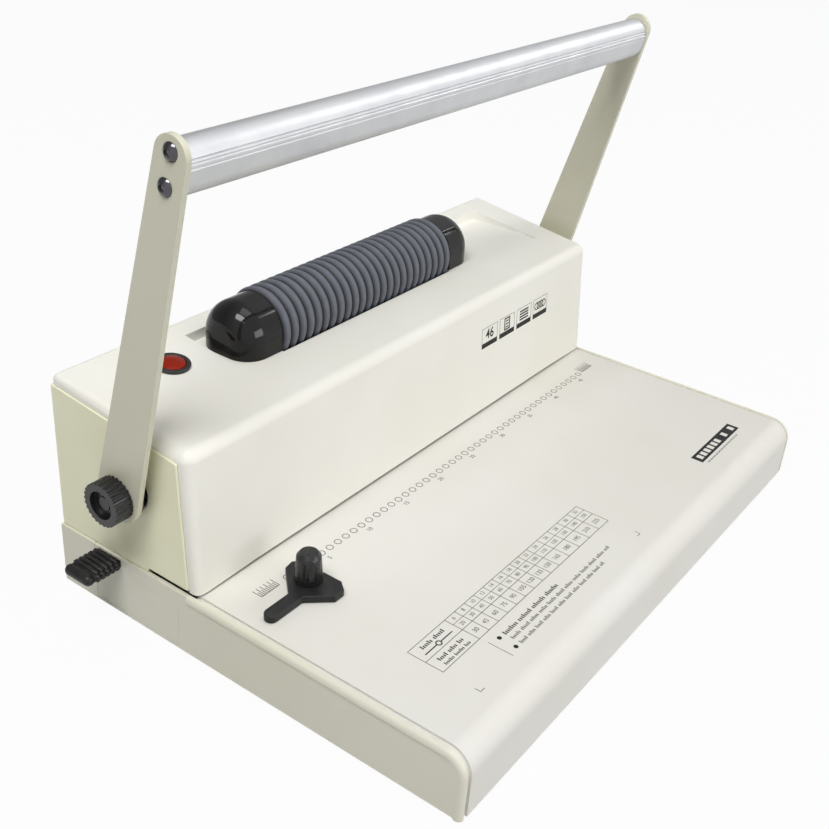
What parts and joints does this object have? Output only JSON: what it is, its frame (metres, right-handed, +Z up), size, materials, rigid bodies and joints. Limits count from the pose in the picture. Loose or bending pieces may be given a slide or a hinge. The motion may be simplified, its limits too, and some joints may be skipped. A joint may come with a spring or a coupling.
{
  "type": "coil punch and bind machine",
  "caption": "Desk machine that punches a row of round holes with a pull handle and winds plastic coils in with a powered ribbed roller on top.",
  "frame": {"origin": "middle of the bounding box at rest, on the floor under the rubber feet", "axes": "+X along the punch row to the user's right, +Y from the user to the back, +Z up"},
  "size_m": [0.403, 0.246, 0.2569],
  "materials": {
    "cream_shell": "fine satin texture",
    "cream_paint": "satin powder coat",
    "steel": "machined",
    "bright_steel": "ground bright",
    "bronze": "turned",
    "grip_aluminium": "satin anodised",
    "black_bolt": "black oxide",
    "black_plastic": "matte moulded",
    "gloss_black": "gloss moulded",
    "grey_rubber": "matte ribbed",
    "black_rubber": "matte",
    "red_button": "gloss moulded",
    "board_green": "solder mask"
  },
  "bodies": {
    "frame": {"base_plate": "steel", "table_top": "cream_paint", "left_end_cap": "cream_shell", "right_end_cap": "cream_shell", "rubber_feet": "black_rubber", "top_cover": "cream_shell", "left_end_panel": "cream_shell", "right_end_panel": "cream_shell", "rear_cover": "cream_shell", "left_side_frame": "steel", "right_side_frame": "steel", "die_plate": "steel", "paper_stop": "steel", "guide_plate": "steel", "die_screws": "steel", "shaft_bushes": "bronze", "guide_rods": "bright_steel", "cross_bar": "steel", "return_springs": "bright_steel", "inserter_motor": "steel", "motor_bracket": "steel", "drive_belt": "black_rubber", "left_roller_dome": "gloss_black", "right_roller_dome": "gloss_black", "roller_bearings": "steel", "button_ring": "black_plastic", "button_switch": "black_plastic", "power_inlet": "black_plastic", "power_board": "board_green", "rear_screws": "steel", "base_screws": "steel", "tray_rails": "steel"},
    "handle": {"left_arm": "cream_paint", "right_arm": "cream_paint", "handle_grip": "grip_aluminium", "grip_bolts": "black_bolt", "drive_shaft": "steel", "drive_pinions": "bronze", "arm_spacers": "black_plastic"},
    "left_knob": {"left_clamp_knob": "black_plastic"},
    "right_knob": {"right_clamp_knob": "black_plastic"},
    "ram": {"punch_bar": "steel", "pin_retainer": "steel", "punch_pins": "bright_steel", "drive_racks": "steel", "rod_bushes": "bronze"},
    "roller": {"roller_core": "steel", "roller_sleeve": "grey_rubber", "roller_pulley": "black_plastic"},
    "motor": {"motor_shaft": "steel", "motor_pulley": "black_plastic"},
    "button": {"button_cap": "red_button"},
    "tray": {"chip_tray": "cream_shell", "tray_grip": "black_plastic"},
    "guide": {"edge_guide": "black_plastic", "guide_clamp": "steel"},
    "guide_knob": {"guide_knob": "black_plastic"}
  },
  "joints": [
    {"name": "handle_pull", "type": "hinge", "parent": "frame", "child": "handle", "pos_m": [0.002, 0.0697, 0.0801], "axis": [1, 0, 0], "range_deg": [0, 75], "stiffness_Nm_per_rad": 1, "springref_deg": -45.84},
    {"name": "ram_slide", "type": "slide", "parent": "frame", "child": "ram", "axis": [0, 0, -1], "range_m": [0, 0.01391], "deforming": ["return_springs"]},
    {"name": "left_knob_turn", "type": "hinge", "parent": "handle", "child": "left_knob", "pos_m": [0.002, 0.0697, 0.0801], "axis": [1, 0, 0], "range_deg": [-180, 180]},
    {"name": "right_knob_turn", "type": "hinge", "parent": "handle", "child": "right_knob", "pos_m": [0.002, 0.0697, 0.0801], "axis": [1, 0, 0], "range_deg": [-180, 180]},
    {"name": "roller_spin", "type": "hinge", "parent": "frame", "child": "roller", "pos_m": [0.002, 0.0885, 0.12169], "axis": [1, 0, 0], "continuous": true},
    {"name": "motor_spin", "type": "hinge", "parent": "frame", "child": "motor", "pos_m": [0.002, 0.099, 0.062], "axis": [1, 0, 0], "continuous": true},
    {"name": "inserter_button", "type": "slide", "parent": "frame", "child": "button", "axis": [0, 0.111, -0.9938], "range_m": [0, 0.002], "stiffness_N_per_m": 300, "springref_m": -0.001},
    {"name": "tray_slide", "type": "slide", "parent": "frame", "child": "tray", "axis": [-1, 0, 0], "range_m": [0, 0.25]},
    {"name": "guide_slide", "type": "slide", "parent": "frame", "child": "guide", "axis": [1, 0, 0], "range_m": [-0.008, 0.004]},
    {"name": "guide_knob_turn", "type": "hinge", "parent": "guide", "child": "guide_knob", "pos_m": [-0.137, -0.002, 0.041], "axis": [0, 0, 1], "range_deg": [-180, 180]}
  ],
  "couplings": [
    {"joint": "ram_slide", "follows": "handle_pull", "m_per_rad": 0.010625},
    {"joint": "motor_spin", "follows": "roller_spin", "ratio": 1.8333}
  ]
}
